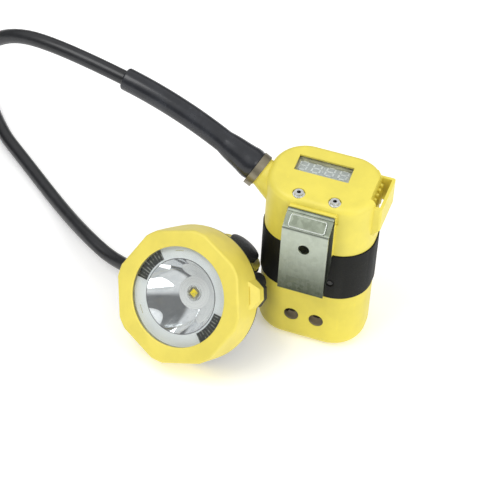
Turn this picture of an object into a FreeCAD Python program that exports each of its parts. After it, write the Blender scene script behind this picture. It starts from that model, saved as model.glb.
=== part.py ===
"""Miner's cap lamp: belt battery pack, lead and headpiece, one STEP file per piece.

Millimetres, +Z up. The origin is the middle of the battery pack's base, which stands on the
floor. +X runs across the pack towards its strap loop and -Y is the belt clip's side.
The headpiece lies on its back beside the pack, and is built in its own frame: the lens looks
along +Z, +Y points to the switch knob, and the origin is the middle of the face ring.
"""
import FreeCAD
import Part
import math
import os

V = FreeCAD.Vector
X_AXIS, Y_AXIS, Z_AXIS = V(1, 0, 0), V(0, 1, 0), V(0, 0, 1)

# ---- battery case ----
case_width = 68.6
case_depth = 46.8
case_corner = 21.0
case_wall = 2.4
base_fillet = 8.2
band_low = 44.0              # lower edge of the dark sleeve
band_high = 79.3             # upper edge of the dark sleeve
band_proud = 0.8
spigot_rise = 6.4            # how far the lower case's spigot enters the cap
spigot_wall = 2.0
fit_gap = 0.15               # between pieces that slide into each other
cap_front_height = 114.9     # top of the cap over the front wall
cap_slope = 7.0              # degrees, the cap's top rises towards the back
cap_fillet = 4.5
cap_wall = 2.6
pin_spacing = 29.0           # locating pins of the sleeve
pin_height = 56.5
pin_radius = 1.6
seal_width = 2.4
seal_depth = 1.2

# ---- display ----
window_length = 33.8
window_width = 12.6
window_shift = -3.0
window_front = 17.0          # along the slope, from the cap's front screws
window_recess = 1.3
window_thickness = 1.6
display_thickness = 2.4

# ---- cap screws ----
screw_spacing = 22.14
screw_inset = 5.84           # from the case's front wall to the screw axis
screw_thread = 3.0           # diameter
screw_length = 30.0
screw_head_radius = 2.75
screw_head_height = 1.6
washer_radius = 3.6
washer_thickness = 0.6
seat_depth = 1.3
socket_radius = 1.3
post_radius = 3.0            # the lower case's posts that take the cap screws
post_top = 95.0
screw_boss = 3.8             # the cap's bosses over those posts

# ---- charging contacts ----
contact_spacing = 15.94
contact_height = 21.3
contact_radius = 4.5
contact_dome = 1.3
contact_shank = 2.0
contact_flange = 0.7
contact_seal = 1.0
contact_nut = 2.2

# ---- belt clip ----
clip_width = 28.5
clip_sheet = 1.0
clip_pad = 1.2               # pad on the case under the clip's back plate
clip_top = 112.0
clip_bend_height = 104.0
clip_reach = 12.5            # from the pad to the tongue's outer face
clip_tip = 56.3
clip_flare_start = 74.0
clip_hole_radius = 3.5
clip_hole_height = 91.0
clip_screw_radius = 2.0
clip_open_gap = 0.35         # between the tongue's tip and the back plate's lip
clip_shoulder = 3.0          # of the slope that stays with the back plate
clip_slit = 0.3
panel_half_x = 11.2          # pressed panel on the slope
panel_half_y = 4.0
panel_rise = 0.9
pad_half = 14.2
pad_high = 111.5
slot_middle = 15.0

# ---- strap loop ----
loop_reach = 38.0            # from the pack's middle to the loop's outer face
loop_front = -10.0
loop_back = 20.0
loop_wall = 1.9
loop_low = 95.0
loop_high = 112.0
loop_taper = 9.0             # of the web under the loop's front wall
loop_recess = 29.9           # the case is cut back to here inside the loop
loop_ribs = 5
rib_radius = 1.3
rib_pitch = 4.6
rib_start = -4.0

# ---- cable boss, clamp and boot ----
boss_clamp = V(-42.0, 1.0, 109.4)
boss_turn = 6.9              # degrees towards the back
boss_rise = 26.2             # degrees above level
boss_root = 12.5
boss_neck = 9.0
boss_root_back = 17.0        # from the clamp back to the boss's root
spigot_radius = 6.6
spigot_out = 9.0
clamp_width = 4.8
clamp_radius = 10.2
clamp_sheet = 0.7
boot_mouth = clamp_radius - clamp_sheet
boot_flare = 26.0
sleeve_radius = 7.0
sleeve_bend = 245.0
sleeve_length = 97.0         # from the clamp to the sleeve's end, along its middle
cable_radius = 4.5
lead_bore = 3.2
clamp_tab_angle = 200.0

# ---- inside the pack ----
cell_radius = 9.2
cell_length = 65.0
cell_pitch = 19.2
cell_row = 4.0
cell_low = 7.0
tray_depth = 10.0
board_top = 101.0
board_thickness = 1.6
board_inset = 7.2
board_screw_spacing = 44.0
board_screw_y = 8.0

# ---- headpiece ----
head_x = -68.9
head_y = -62.2
head_turn = 12.0             # degrees, the lens looks to the left of the pack's front
head_lean = 57.2             # degrees from looking straight up
head_roll = -22.5            # degrees about the lens axis
bezel_radius = 42.0
bezel_depth = 24.2
bezel_wall = 3.0
bezel_edge = 1.6              # rounding of the front's outer edges
window_edge = 0.8
bezel_flats = 8
flat_distance = 40.0
flat_fade = 6.0              # degrees, so that the flats run out before the rear edge
window_radius = 30.6
lens_thickness = 2.5
lens_recess = 1.3
seat_step = 1.8              # the seat is this much wider than the window
reflector_radius = 22.7
reflector_depth = 19.1
reflector_rim = 36.0
reflector_wall = 1.2
led_ring_radius = 10.2
flange_thickness = 1.6
rim_front = 4.4              # from the face ring back to the flange
panel_inner = 24.3
panel_sweep = 42.0           # degrees
panel_thickness = 0.5
led_board_thickness = 1.6
led_package_side = 6.8
led_package_height = 0.7
led_chip_side = 3.9
led_chip_height = 0.25
led_dome_radius = 3.7
heat_sink_radius = 23.8
heat_sink_thickness = 3.5
pillar_radius = 2.2
pillar_line = 25.9
driver_radius = 17.0
driver_thickness = 1.6
shell_radius = 41.6
shell_gasket = 0.8
shell_flange = 1.4
shell_rear = 57.5            # from the face ring to the shell's rear end
shell_end_radius = 20.0
shell_wall = 2.4
lug_angle = 45.0
lug_reach = 46.0
lug_tip = 7.0
lug_base = 17.0
lug_depth = 14.0
lug_slant = 52.0             # degrees, of the lug's front face
lug_screw_line = 42.2
lug_screw_radius = 1.0
pocket_half = 5.4
hook_half = 9.0
hook_foot_low = 2.0
hook_foot_high = 13.0
hook_tip = -9.0
hook_slot = 4.2
hook_sheet = 2.2
hook_screw_y = 7.5
hook_screw_spacing = 10.0
hook_screw_radius = 1.2

# ---- switch ----
knob_depth = 41.6            # behind the face ring
boss_radius = 15.9
boss_top = 31.6
collar_radius = 14.9
collar_height = 2.6
knob_radius = 10.6
knob_height = 3.6
knob_dome = 1.9
knob_gap = 0.4
shaft_radius = 3.0
shaft_clearance = 0.05
o_ring_outer = 4.6
switch_radius = 7.0
switch_low = 17.0
boss_roof = 3.0              # thickness over the hollow of the switch boss
boss_foot = 24.0             # the boss starts here inside the shell

# ---- lead ----
gland_angle = 211.6          # place of the lead's gland around the shell
gland_reach = 36.0           # and its distance from the lamp's axis
gland_depth = 34.8
gland_tilt = 25.8            # degrees, backwards
gland_inside = -6.4          # from the gland's place to the boot's inner end
gland_neck = 2.5
gland_mid = 4.5
gland_end = 15.0
gland_root_radius = 7.2
gland_neck_radius = 5.6
coil_middle = V(-328.0, 100.0, 0)
coil_radius = 46.0
coil_inner_turn = 4.7        # half the pitch of the two lower turns
coil_layer = 7.9             # rise from the lower turns to the upper one

# worked out
half_w, half_d = case_width / 2, case_depth / 2
front = -half_d
band_front = front - band_proud
pad_front = band_front - clip_pad
pad_low = band_high
slope = math.radians(cap_slope)
screw_y = front + screw_inset
screw_places = (-screw_spacing / 2, screw_spacing / 2)
contact_places = (-contact_spacing / 2, contact_spacing / 2)
pin_places = (-pin_spacing / 2, pin_spacing / 2)
board_screw_places = (-board_screw_spacing / 2, board_screw_spacing / 2)
hook_screw_places = (-hook_screw_spacing / 2, hook_screw_spacing / 2)
inner_wall = cap_wall + fit_gap + spigot_wall
cavity_grow = -inner_wall
seal_low = band_high + 2.5
pin_floor = front + cap_wall + fit_gap + 1.2
seat_height = cap_front_height + screw_inset * math.tan(slope) - seat_depth
shank_length = inner_wall + contact_seal + contact_nut + 0.5
tab_high = cell_low + cell_length + 0.8
plate_middle = pad_front - clip_sheet / 2
tongue_face = pad_front - clip_reach
bend_y = tongue_face + clip_sheet
seat_back = lens_recess + lens_thickness + 1.7
lens_radius = window_radius + seat_step - 0.3
flange_outer = window_radius + 0.2
board_front = -rim_front - reflector_depth - 0.1
switch_high = boss_top - boss_roof


def box(x0, x1, y0, y1, z0, z1):
    return Part.makeBox(x1 - x0, y1 - y0, z1 - z0, V(x0, y0, z0))


def rod(radius, start, end):
    """Round bar from one point to another."""
    return Part.makeCylinder(radius, (end - start).Length, start, end - start)


def fuse(shapes):
    whole = shapes[0].fuse(shapes[1:])
    return whole.removeSplitter()


def group(shapes):
    return Part.makeCompound(shapes)


def placed(solid, place):
    copy = solid.copy()
    copy.Placement = place.multiply(copy.Placement)
    return copy


def along(axis, origin=V(0, 0, 0)):
    """Placement that turns +Z to the axis and moves it to the origin."""
    return FreeCAD.Placement(origin, FreeCAD.Rotation(Z_AXIS, axis))


def turned(points):
    """Solid of revolution about Z from its (radius, height) corners."""
    corners = [V(r, 0, h) for r, h in points]
    return Part.Face(Part.makePolygon(corners + corners[:1])).revolve(V(0, 0, 0), Z_AXIS, 360)


def outline(grow, z):
    """Rounded rectangle of the case, made larger by grow, as a face at height z."""
    a, b, r = half_w + grow, half_d + grow, case_corner + grow
    mx, my, q = a - r, b - r, r * math.sqrt(0.5)
    edges = []
    for sx, sy in ((1, -1), (1, 1), (-1, 1), (-1, -1)):
        ends = [V(sx * a, sy * my, z), V(sx * mx, sy * b, z)]
        if sx * sy < 0:
            ends.reverse()
        edges.append(Part.Arc(ends[0], V(sx * (mx + q), sy * (my + q), z), ends[1]).toShape())
    corners = [edge.Vertexes for edge in edges]
    sides = [Part.makeLine(corners[i][-1].Point, corners[(i + 1) % 4][0].Point) for i in range(4)]
    return Part.Face(Part.Wire([e for pair in zip(edges, sides) for e in pair]))


def prism(grow, low, high):
    return outline(grow, low).extrude(V(0, 0, high - low))


def screw(radius, length, head_radius, head_height, socket_radius):
    """Socket screw with the underside of its head at the origin and its shank down -Z."""
    body = fuse([Part.makeCylinder(radius, length, V(0, 0, -length)),
                 Part.makeCylinder(head_radius, head_height)])
    socket = turned_hexagon(socket_radius, head_height * 0.4, head_height)
    return body.cut(socket)


def turned_hexagon(radius, low, high):
    corners = [V(radius * math.cos(math.radians(60 * i)), radius * math.sin(math.radians(60 * i)), low)
               for i in range(7)]
    return Part.Face(Part.makePolygon(corners)).extrude(V(0, 0, high - low))


def strip(points, radius, width, sheet):
    """Bent sheet: a rectangular section swept along straight runs and bends in the Y-Z plane."""
    path = bent_path([V(0, y, z) for y, z in points], [radius] * (len(points) - 2))
    start, run = path[0].Vertexes[0].Point, V(0, points[1][0] - points[0][0], points[1][1] - points[0][1])
    across = V(0, -run.z, run.y).normalize() * (sheet / 2)
    side = V(width / 2, 0, 0)
    corners = [start - side - across, start + side - across, start + side + across, start - side + across]
    section = Part.makePolygon(corners + corners[:1])
    return Part.Wire(path).makePipeShell([section], True, False)


def bent_path(points, radii):
    """Edges of straight runs joined by tangent arcs of the given radii."""
    edges, last = [], points[0]
    for before, corner, after, radius in zip(points, points[1:], points[2:], radii):
        a, b = (before - corner).normalize(), (after - corner).normalize()
        half = a.getAngle(b) / 2
        reach = radius / math.tan(half)
        middle = corner + (a + b).normalize() * (radius / math.sin(half) - radius)
        edges += [Part.makeLine(last, corner + a * reach),
                  Part.Arc(corner + a * reach, middle, corner + b * reach).toShape()]
        last = corner + b * reach
    return edges + [Part.makeLine(last, points[-1])]


def cord(points, name):
    """Round tube whose bends are as large as the runs beside them allow."""
    radii = []
    for before, corner, after in zip(points, points[1:], points[2:]):
        a, b = before - corner, after - corner
        half_turn = (math.pi - a.getAngle(b)) / 2
        radii.append(0.45 * min(a.Length, b.Length) / math.tan(half_turn))
    path = bent_path(points, radii)
    circle = Part.makeCircle(cable_radius, points[0], points[1] - points[0])
    tube = Part.Wire(path).makePipeShell([Part.Wire([circle])], True, False)
    length = sum(edge.Length for edge in path)
    share = tube.Volume / (math.pi * cable_radius ** 2 * length)
    print(name, "length %.0f" % length, "volume share %.4f" % share, "radii", [round(r) for r in radii])
    return tube


# ---- frames ----
cap_frame = FreeCAD.Placement(V(0, screw_y, cap_front_height + screw_inset * math.tan(slope)),
                              FreeCAD.Rotation(X_AXIS, cap_slope))
boss_axis = V(-math.cos(math.radians(boss_turn)) * math.cos(math.radians(boss_rise)),
              math.sin(math.radians(boss_turn)) * math.cos(math.radians(boss_rise)),
              math.sin(math.radians(boss_rise)))
boss_frame = along(boss_axis, boss_clamp)
flange_depth = bezel_depth + shell_gasket + shell_flange
lean_back = math.radians(90 - head_lean)
head_rest = flange_depth * math.sin(lean_back) + shell_radius * math.cos(lean_back)
head_frame = (FreeCAD.Placement(V(head_x, head_y, head_rest), FreeCAD.Rotation(Z_AXIS, -head_turn))
              .multiply(FreeCAD.Placement(V(), FreeCAD.Rotation(X_AXIS, head_lean)))
              .multiply(FreeCAD.Placement(V(), FreeCAD.Rotation(Z_AXIS, head_roll))))
knob_frame = FreeCAD.Placement(V(0, 0, -knob_depth), FreeCAD.Rotation(X_AXIS, -90))
gland_frame = (FreeCAD.Placement(V(0, 0, -gland_depth), FreeCAD.Rotation(Z_AXIS, gland_angle))
               .multiply(FreeCAD.Placement(V(gland_reach, 0, 0), FreeCAD.Rotation(Y_AXIS, 90 + gland_tilt))))
lug_frame = FreeCAD.Placement(V(), FreeCAD.Rotation(Z_AXIS, lug_angle))


def above_slope(depth):
    """Everything over the cap's sloping top, lowered by depth."""
    return placed(box(-100, 100, -100, 100, -depth, 100), cap_frame)


# ---- battery case ----
def lower_case():
    spigot_grow = -cap_wall - fit_gap
    shell = prism(0, 0, band_low)
    shell = shell.makeFillet(base_fillet, [e for e in shell.Edges if e.BoundBox.ZMax < 0.01])
    shell = fuse([shell, prism(spigot_grow, band_low - 1, band_high + spigot_rise)])
    shell = shell.cut(prism(cavity_grow, case_wall, band_high + spigot_rise + 1))
    posts = [rod(post_radius, V(x, screw_y, band_low), V(x, screw_y, post_top)) for x in screw_places]
    posts = [post.common(prism(spigot_grow, 0, post_top)) for post in posts]
    shell = fuse([shell] + posts)
    holes = [rod(screw_thread / 2, V(x, screw_y, seat_height - screw_length - 1), V(x, screw_y, post_top + 1))
             for x in screw_places]
    holes += [rod(contact_shank + fit_gap, V(x, front - 1, contact_height), V(x, 0, contact_height))
              for x in contact_places]
    holes += [rod(contact_radius + fit_gap, V(x, front - 5, contact_height),
                  V(x, front + contact_flange, contact_height)) for x in contact_places]
    holes += [rod(pin_radius, V(x, front, pin_height), V(x, pin_floor, pin_height)) for x in pin_places]
    groove = prism(spigot_grow + 1, seal_low, seal_low + seal_width).cut(
        prism(spigot_grow - seal_depth, seal_low - 1, seal_low + seal_width + 1))
    return shell.cut(holes + [groove])


def case_band():
    band = prism(band_proud, band_low + 0.1, band_high - 0.1)
    band = band.makeFillet(0.5, [e for f in band.Faces for e in f.Edges
                                 if e.BoundBox.ZMax - e.BoundBox.ZMin < 0.01])
    band = band.cut(prism(-cap_wall, 0, 200))
    holes = [rod(pin_radius + 1.0, V(x, band_front - 1, pin_height), V(x, band_front + 0.9, pin_height))
             for x in pin_places]
    holes += [rod(pin_radius, V(x, band_front, pin_height), V(x, 0, pin_height)) for x in pin_places]
    return band.cut(holes)


def strap_loop():
    """Walls of the open rectangular loop on the cap's right end, and the web below them."""
    outer = box(half_w - case_corner, loop_reach, loop_front, loop_back, loop_low, loop_high)
    outer = outer.makeFillet(1.6, [e for e in outer.Edges if e.BoundBox.ZLength > 10
                                   and e.BoundBox.XMin > loop_reach - 0.01])
    corners = [V(loop_reach - 0.6, loop_front, loop_low), V(half_w - case_corner, loop_front, loop_low),
               V(half_w - case_corner, loop_front, loop_low - loop_taper),
               V(half_w - 6, loop_front, loop_low - loop_taper)]
    web = Part.Face(Part.makePolygon(corners + corners[:1])).extrude(V(0, loop_wall, 0))
    return fuse([outer, web])


def loop_recess_cut():
    """The strap's way: down through the loop and out under its outer wall."""
    low_y, high_y = loop_front + loop_wall, loop_back - loop_wall
    inside = loop_reach - loop_wall
    corners = [(loop_recess, 140), (loop_recess, loop_low), (half_w + 0.5, loop_low - loop_taper),
               (loop_reach + 1, loop_low - loop_taper), (loop_reach + 1, loop_low - 0.01),
               (inside, loop_low - 0.01), (inside, 140)]
    face = Part.Face(Part.makePolygon([V(x, low_y, z) for x, z in corners + corners[:1]]))
    return face.extrude(V(0, high_y - low_y, 0))


def loop_ribs_group():
    ribs = []
    for i in range(loop_ribs):
        y = rib_start + i * rib_pitch
        rib = rod(rib_radius, V(loop_recess + 0.7, y, loop_low), V(loop_recess + 0.7, y, loop_high - 2.0))
        ribs.append(rib.makeFillet(0.9, [e for e in rib.Edges if e.BoundBox.ZMin > loop_high - 2.1]))
    return ribs


def cap_shell():
    cap = prism(0, band_high, 140).cut(above_slope(0))
    rim = [e for e in cap.Edges if e.BoundBox.ZMin > cap_front_height - 0.5]
    cap = cap.makeFillet(cap_fillet, rim)
    boss = placed(turned([(0, -boss_root_back), (boss_root, -boss_root_back),
                          (boss_neck, -clamp_width / 2 - 0.5), (boot_mouth, -clamp_width / 2 - 0.5),
                          (boot_mouth, -clamp_width / 2 - 0.1), (spigot_radius, -clamp_width / 2 - 0.1),
                          (spigot_radius, spigot_out), (0, spigot_out)]), boss_frame)
    pad = box(-pad_half, pad_half, pad_front, front + cap_wall, pad_low, pad_high)
    pad = pad.makeFillet(1.0, [e for e in pad.Edges if e.BoundBox.YMax < pad_front + 0.01])
    cap = fuse([cap, boss, pad, strap_loop()])
    cavity = prism(-cap_wall, band_high - 1, 140).cut(above_slope(cap_wall))
    cap = cap.cut(cavity)
    bosses = [rod(screw_boss, V(x, screw_y, post_top + fit_gap), V(x, screw_y, 130)) for x in screw_places]
    bosses += [rod(2.6, V(x, board_screw_y, board_top), V(x, board_screw_y, 130)) for x in board_screw_places]
    bosses.append(box(loop_recess - cap_wall, loop_recess + 0.2, loop_front, loop_back,
                      loop_low - loop_taper, 130))
    under_roof = prism(-1, 0, 140).cut(above_slope(cap_wall / 2))
    cap = fuse([cap] + [b.common(under_roof) for b in bosses]).cut(loop_recess_cut())
    cap = fuse([cap] + loop_ribs_group())
    holes = [rod(screw_thread / 2 + 0.2, V(x, screw_y, 60), V(x, screw_y, 140)) for x in screw_places]
    holes += [rod(washer_radius + 0.3, V(x, screw_y, seat_height), V(x, screw_y, 140)) for x in screw_places]
    holes += [rod(1.0, V(x, board_screw_y, board_top - 1), V(x, board_screw_y, board_top + 8))
              for x in board_screw_places]
    holes += [box(side * slot_middle - 0.7, side * slot_middle + 0.7, pad_front - 1, front + 0.4,
                  clip_bend_height, clip_top + 0.5) for side in (-1, 1)]
    holes += [rod(clip_screw_radius + 0.1, V(0, pad_front - 1, clip_hole_height), V(0, 0, clip_hole_height))]
    opening = box(window_shift - window_length / 2, window_shift + window_length / 2, window_front,
                  window_front + window_width, -cap_wall - 4, 5)
    ledge = box(window_shift - window_length / 2 - 1.5, window_shift + window_length / 2 + 1.5,
                window_front - 1.5, window_front + window_width + 1.5, -cap_wall - 4, -window_recess)
    holes += [placed(opening, cap_frame), placed(ledge, cap_frame)]
    holes += [placed(Part.makeCylinder(lead_bore, 60, V(0, 0, -30)), boss_frame)]
    return cap.cut(holes)


def case_seal():
    grow = -cap_wall - fit_gap
    return prism(-cap_wall, seal_low + 0.1, seal_low + seal_width - 0.1).cut(
        prism(grow - seal_depth, seal_low - 1, seal_low + seal_width + 1))


def band_pins():
    return group([rod(pin_radius, V(x, band_front + 0.4, pin_height), V(x, pin_floor, pin_height))
                  for x in pin_places])


# ---- display ----
def window_block(margin, top, thickness, hole=None):
    block = box(window_shift - window_length / 2 - margin, window_shift + window_length / 2 + margin,
                window_front - margin, window_front + window_width + margin, -top - thickness, -top)
    if hole is not None:
        half = window_length / 2 - hole
        block = block.cut(box(window_shift - half, window_shift + half,
                              window_front + hole, window_front + window_width - hole, -50, 50))
    return placed(block, cap_frame)


# ---- inside the pack ----
def battery_cells():
    cells = []
    for i in (-1, 0, 1):
        body = Part.makeCylinder(cell_radius, cell_length, V(i * cell_pitch, cell_row, cell_low))
        body = body.makeFillet(0.8, [e for e in body.Edges if e.BoundBox.ZLength < 0.01])
        cap = Part.makeCylinder(3.2, 0.8, V(i * cell_pitch, cell_row, cell_low + cell_length))
        cells.append(fuse([body, cap]))
    return group(cells)


def cell_tray(low, high):
    tray = prism(cavity_grow - 0.3, low, high)
    cells = [Part.makeCylinder(cell_radius + 0.2, cell_length + 2, V(i * cell_pitch, cell_row, cell_low))
             for i in (-1, 0, 1)]
    posts = [rod(post_radius + 0.4, V(x, screw_y, 0), V(x, screw_y, 200)) for x in screw_places]
    front_gap = box(-30, 30, -40, cell_row - cell_radius - 1.5, -10, 200)
    tab = box(-cell_pitch - 5.2, cell_pitch + 5.2, cell_row - 3.7, cell_row + 3.7,
              cell_low - 0.3, cell_low + 0.1)
    return tray.cut(cells + posts + [front_gap, tab])


def cell_tabs():
    half = cell_pitch + 5
    top = box(-half, half, cell_row - 3.5, cell_row + 3.5, tab_high, tab_high + 0.2)
    low = box(-half, half, cell_row - 3.5, cell_row + 3.5, cell_low - 0.2, cell_low)
    riser = box(half, half + 0.2, cell_row - 3.5, cell_row + 3.5, tab_high, tab_high + 12)
    return group([fuse([top, riser]), low])


def control_board():
    board = prism(-board_inset, board_top - board_thickness, board_top)
    gaps = [rod(screw_boss + 0.6, V(x, screw_y, 60), V(x, screw_y, 140)) for x in screw_places]
    gaps += [rod(1.2, V(x, board_screw_y, 60), V(x, board_screw_y, 140)) for x in board_screw_places]
    gaps += [box(-6, 6, -40, front + 10, 60, 140)]
    parts = [box(-12, -2, 3, 9, board_top, board_top + 2.2), box(14, 17, -6, 0, board_top, board_top + 1.8),
             box(-10, -4, -6, -1, board_top, board_top + 1.2)]
    return fuse([board.cut(gaps)] + parts)


def lead_wires():
    """Two insulated wires from the board's edge out through the boss."""
    wires = []
    for side in (-1, 1):
        end = boss_frame.multVec(V(0, side * 1.4, spigot_out))
        root = boss_frame.multVec(V(0, side * 1.4, -boss_root_back))
        start = V(root.x + 8, root.y, board_top + 1.2)
        path = bent_path([end, root, start], [6.0])
        wires.append(Part.Wire(path).makePipeShell(
            [Part.Wire([Part.makeCircle(0.9, end, root - end)])], True, False))
    return group(wires)


def charge_contacts():
    """Domed studs: the dome stands on the case's face and the shank passes through the wall."""
    sphere = (contact_radius ** 2 + contact_dome ** 2) / (2 * contact_dome)
    studs = []
    for x in contact_places:
        dome = Part.makeSphere(sphere, V(0, 0, contact_dome - sphere)).common(
            Part.makeCylinder(contact_radius, contact_dome))
        stud = fuse([dome, Part.makeCylinder(contact_radius, contact_flange, V(0, 0, -contact_flange)),
                     Part.makeCylinder(contact_shank, shank_length, V(0, 0, -shank_length))])
        studs.append(placed(stud, along(-Y_AXIS, V(x, front, contact_height))))
    return group(studs)


def on_shanks(outer, start, thickness, hexagonal=False):
    """Rings or nuts on the contacts' shanks, behind the case's front wall."""
    rings = []
    for x in contact_places:
        ring = (turned_hexagon(outer, 0, thickness) if hexagonal else Part.makeCylinder(outer, thickness))
        ring = ring.cut(Part.makeCylinder(contact_shank, thickness))
        rings.append(placed(ring, along(Y_AXIS, V(x, start, contact_height))))
    return group(rings)


# ---- belt clip ----
def clip_plate():
    lip = V(0, tongue_face + clip_sheet * 1.5 + clip_open_gap, clip_tip + 0.6)
    shoulder = slope_point(clip_shoulder)
    plate = strip([(lip.y, lip.z), (plate_middle, clip_flare_start), (plate_middle, clip_top),
                   (shoulder.y, shoulder.z)], 1.0, clip_width, clip_sheet)
    hole = rod(clip_screw_radius + 0.1, V(0, plate_middle - 3, clip_hole_height),
               V(0, plate_middle + 3, clip_hole_height))
    return plate.cut(hole)


def slope_point(distance):
    """Point on the middle line of the clip's slope, a distance from its upper corner."""
    upper, lower = V(0, plate_middle, clip_top), V(0, bend_y, clip_bend_height)
    return upper + (lower - upper).normalize() * distance


def clip_tongue():
    """Sprung front leaf: a sloping shoulder with a pressed panel, and the long tongue."""
    top, corner = slope_point(clip_shoulder + clip_slit), V(0, bend_y, clip_bend_height)
    run = (top - corner).normalize()
    tongue = strip([(top.y, top.z), (bend_y, clip_bend_height), (tongue_face + clip_sheet / 2, clip_tip)],
                   1.6, clip_width, clip_sheet)
    normal = V(0, -run.z, run.y)
    turn = FreeCAD.Rotation(X_AXIS, V(0, normal.z, -normal.y), normal, "ZXY")
    face = FreeCAD.Placement((top + corner) * 0.5 + normal * (clip_sheet / 2), turn)
    panel = box(-panel_half_x, panel_half_x, -panel_half_y, panel_half_y, -0.2, panel_rise)
    panel = panel.makeFillet(1.6, [e for e in panel.Edges if e.BoundBox.ZLength > 0.5
                                   and e.BoundBox.XLength < 0.01 and e.BoundBox.YLength < 0.01])
    hole = rod(clip_hole_radius, V(0, tongue_face - 5, clip_hole_height), V(0, bend_y + 5, clip_hole_height))
    return fuse([tongue, placed(panel, face)]).cut(hole)


# ---- boot, clamp ----
def cable_boot():
    """Rubber boot: a flared mouth over the boss's spigot, tapering into a long drooping sleeve."""
    low = -clamp_width / 2
    profile = Part.BSplineCurve()
    profile.interpolate([V(boot_mouth, 0, 2.6), V(boot_mouth + 0.35, 0, 5.0), V(boot_mouth - 0.3, 0, 10.0),
                         V(sleeve_radius + 1.3, 0, 18.0), V(sleeve_radius, 0, boot_flare)])
    start, end = V(boot_mouth, 0, 2.6), V(sleeve_radius, 0, boot_flare)
    wire = Part.Wire([Part.makeLine(V(spigot_radius + 0.05, 0, low), V(boot_mouth, 0, low)),
                      Part.makeLine(V(boot_mouth, 0, low), start), profile.toShape(),
                      Part.makeLine(end, V(0, 0, boot_flare)),
                      Part.makeLine(V(0, 0, boot_flare), V(0, 0, spigot_out + 0.1)),
                      Part.makeLine(V(0, 0, spigot_out + 0.1), V(spigot_radius + 0.05, 0, spigot_out + 0.1)),
                      Part.makeLine(V(spigot_radius + 0.05, 0, spigot_out + 0.1),
                                    V(spigot_radius + 0.05, 0, low))])
    flare = placed(Part.Face(wire).revolve(V(0, 0, 0), Z_AXIS, 360), boss_frame)
    points = [sleeve_point(s) for s in (boot_flare, (boot_flare + sleeve_length) / 2, sleeve_length)]
    arc = Part.Arc(*points).toShape()
    circle = Part.makeCircle(sleeve_radius, points[0], boss_axis)
    sleeve = Part.Wire([arc]).makePipeShell([Part.Wire([circle])], True, False)
    last = [e for e in sleeve.Edges if (e.BoundBox.Center - points[2]).Length < 0.5]
    sleeve = sleeve.makeFillet(1.4, last[:1])
    return fuse([flare, sleeve])


def sleeve_point(distance):
    """Point on the sleeve's middle line, a distance out from the clamp."""
    level = V(boss_axis.x, boss_axis.y, 0).normalize()
    rise = math.radians(boss_rise)
    bent = (distance - boot_flare) / sleeve_bend
    out = sleeve_bend * (math.sin(rise) - math.sin(rise - bent))
    up = sleeve_bend * (math.cos(rise - bent) - math.cos(rise))
    start = boss_clamp + boss_axis * boot_flare
    return start + level * out + Z_AXIS * up


def boot_clamp():
    half = clamp_width / 2
    ring = Part.makeCylinder(clamp_radius, clamp_width, V(0, 0, -half)).cut(
        Part.makeCylinder(boot_mouth, clamp_width, V(0, 0, -half)))
    tab = box(clamp_radius - 0.9, clamp_radius + 0.9, -4.2, 4.2, -half, half).cut(
        Part.makeCylinder(boot_mouth, clamp_width, V(0, 0, -half)))
    tab = placed(tab, FreeCAD.Placement(V(), FreeCAD.Rotation(Z_AXIS, clamp_tab_angle)))
    return placed(fuse([ring, tab]), boss_frame)


# ---- headpiece ----
def from_axis(corner):
    return math.hypot(corner.X, corner.Y)


def head_bezel():
    seat = window_radius + seat_step
    body = turned([(window_radius, 0), (bezel_radius, 0), (bezel_radius, -bezel_depth),
                   (bezel_radius - bezel_wall, -bezel_depth), (bezel_radius - bezel_wall, -seat_back),
                   (seat, -seat_back), (seat, -lens_recess), (window_radius, -lens_recess)])
    flats = []
    for i in range(bezel_flats):
        cutter = box(0, 20, -40, 40, -60, 60)
        lean = FreeCAD.Placement(V(flat_distance, 0, 0), FreeCAD.Rotation(Y_AXIS, -flat_fade))
        spin = FreeCAD.Placement(V(), FreeCAD.Rotation(Z_AXIS, i * 360 / bezel_flats))
        flats.append(placed(cutter, spin.multiply(lean)))
    body = body.cut(flats)
    for window_side, rounding in ((False, bezel_edge), (True, window_edge)):
        edges = [e for e in body.Edges if abs(e.BoundBox.ZMax) < 0.01 and abs(e.BoundBox.ZMin) < 0.01]
        edges = [e for e in edges if (from_axis(e.Vertexes[0]) < window_radius + 0.1) == window_side]
        body = body.makeFillet(rounding, edges)
    lug = lug_block(lug_reach, -bezel_depth, -bezel_depth + lug_depth)
    slant = placed(box(0, 30, -30, 30, 0, 60), FreeCAD.Placement(
        V(bezel_radius - 2.5, 0, -bezel_depth + lug_depth), FreeCAD.Rotation(Y_AXIS, lug_slant)))
    lug = lug.cut(slant)
    pocket = placed(box(1.0, 3.9, -pocket_half, pocket_half, -2.2, 5), FreeCAD.Placement(
        V(bezel_radius - 2.5, 0, -bezel_depth + lug_depth), FreeCAD.Rotation(Y_AXIS, lug_slant)))
    lug = placed(lug.cut(pocket), lug_frame)
    inside = turned([(0, 0), (bezel_radius - bezel_wall, 0), (bezel_radius - bezel_wall, -bezel_depth),
                     (0, -bezel_depth)])
    screw_hole = rod(lug_screw_radius + 0.05, V(lug_screw_line, 0, -40), V(lug_screw_line, 0, -bezel_depth + 6))
    screw_hole = placed(screw_hole, lug_frame)
    return fuse([body, lug.cut(inside)]).cut(screw_hole)


def lug_block(reach, low, high):
    half_base, half_tip = lug_base / 2, lug_tip / 2
    root, knee = bezel_radius - 4, bezel_radius - 0.6
    corners = [(root, -half_base), (knee, -half_base), (reach, -half_tip), (reach, half_tip),
               (knee, half_base), (root, half_base)]
    face = Part.Face(Part.makePolygon([V(x, y, low) for x, y in corners + corners[:1]]))
    block = face.extrude(V(0, 0, high - low))
    return block.makeFillet(1.4, [e for e in block.Edges if e.BoundBox.XLength < 0.01
                                  and e.BoundBox.YLength < 0.01 and e.BoundBox.XMin > reach - 0.01])


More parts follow.
